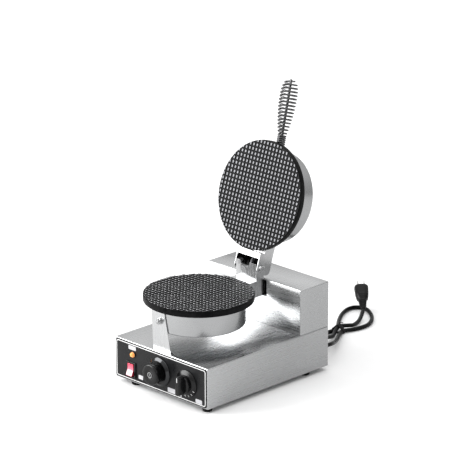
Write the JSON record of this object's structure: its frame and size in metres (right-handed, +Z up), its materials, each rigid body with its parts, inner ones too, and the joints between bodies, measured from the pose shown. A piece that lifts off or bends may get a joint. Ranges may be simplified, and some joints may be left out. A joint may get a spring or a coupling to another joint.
{
  "type": "waffle cone maker",
  "caption": "Countertop waffle cone baker with a hinged round upper plate, spring-wire handle, flat steel base, front controls and a mains cord behind.",
  "frame": {"origin": "on the standing surface, under the middle of the open machine without its cord", "axes": "+Z up, -Y the front with the control panel, +X the machine's right-hand side seen from the front"},
  "size_m": [0.248, 0.6782, 0.5485],
  "materials": {
    "steel": "satin",
    "bright_steel": "polished",
    "spring_wire": "bright drawn wire",
    "plate": "black non-stick coating",
    "black_plastic": "fine texture",
    "panel": "satin black",
    "silver": "satin",
    "rubber": "matte",
    "red": "gloss, translucent",
    "amber": "gloss, translucent",
    "wool": "mineral fibre",
    "sheath": "heat darkened",
    "ceramic": "ceramic",
    "conduit": "stripwound hose",
    "cord": "satin sheath",
    "brass": "nickel plated"
  },
  "bodies": {
    "base": {"base_shell": "steel", "bottom_plate": "steel", "bracket_nut": "bright_steel", "bracket_stud": "bright_steel", "bracket_washer": "bright_steel", "conduit": "conduit", "conduit_socket": "brass", "control_panel": "panel", "cord_gland": "black_plastic", "cord_hank": "cord", "cord_tie": "black_plastic", "foot_front_left": "rubber", "foot_front_right": "rubber", "foot_rear_left": "rubber", "foot_rear_right": "rubber", "front_bracket": "steel", "hinge_support": "steel", "indicator_body": "black_plastic", "indicator_lens": "amber", "lower_cover": "steel", "lower_heater": "sheath", "lower_hinge_bracket": "steel", "lower_housing": "steel", "lower_insulation": "wool", "lower_plate": "plate", "pivot_bolt_left": "bright_steel", "pivot_bolt_right": "bright_steel", "pivot_nut_left": "bright_steel", "pivot_nut_right": "bright_steel", "plug_blade_live": "brass", "plug_blade_neutral": "brass", "plug_body": "cord", "plug_ground_pin": "brass", "power_cord": "cord", "rear_housing": "steel", "switch_frame": "black_plastic", "temperature_sensor": "brass", "terminal_block": "ceramic", "thermostat_body": "ceramic", "timer_body": "black_plastic"},
    "rocker": {"rocker": "red"},
    "temperature_dial": {"temperature_shaft": "bright_steel", "temperature_skirt": "silver", "temperature_knob": "black_plastic"},
    "timer_dial": {"timer_shaft": "bright_steel", "timer_skirt": "silver", "timer_knob": "black_plastic"},
    "lid": {"upper_plate": "plate", "upper_housing": "steel", "upper_heater": "sheath", "upper_insulation": "wool", "upper_hinge_bracket": "steel", "handle_rod": "spring_wire", "handle_coil": "spring_wire", "handle_nut": "bright_steel", "conduit_ferrule": "brass"}
  },
  "joints": [
    {"name": "lid_hinge", "type": "hinge", "parent": "base", "child": "lid", "pos_m": [0, 0.0707, 0.2043], "axis": [1, 0, 0], "range_deg": [0, 107.5], "deforming": ["conduit"]},
    {"name": "rocker_switch", "type": "hinge", "parent": "base", "child": "rocker", "pos_m": [-0.079, -0.1654, 0.0345], "axis": [1, 0, 0], "range_deg": [0, 24]},
    {"name": "temperature_turn", "type": "hinge", "parent": "base", "child": "temperature_dial", "pos_m": [-0.002, -0.1651, 0.0515], "axis": [0, 1, 0], "range_deg": [0, 270]},
    {"name": "timer_turn", "type": "hinge", "parent": "base", "child": "timer_dial", "pos_m": [0.0705, -0.1651, 0.048], "axis": [0, 1, 0], "range_deg": [0, 300]}
  ]
}
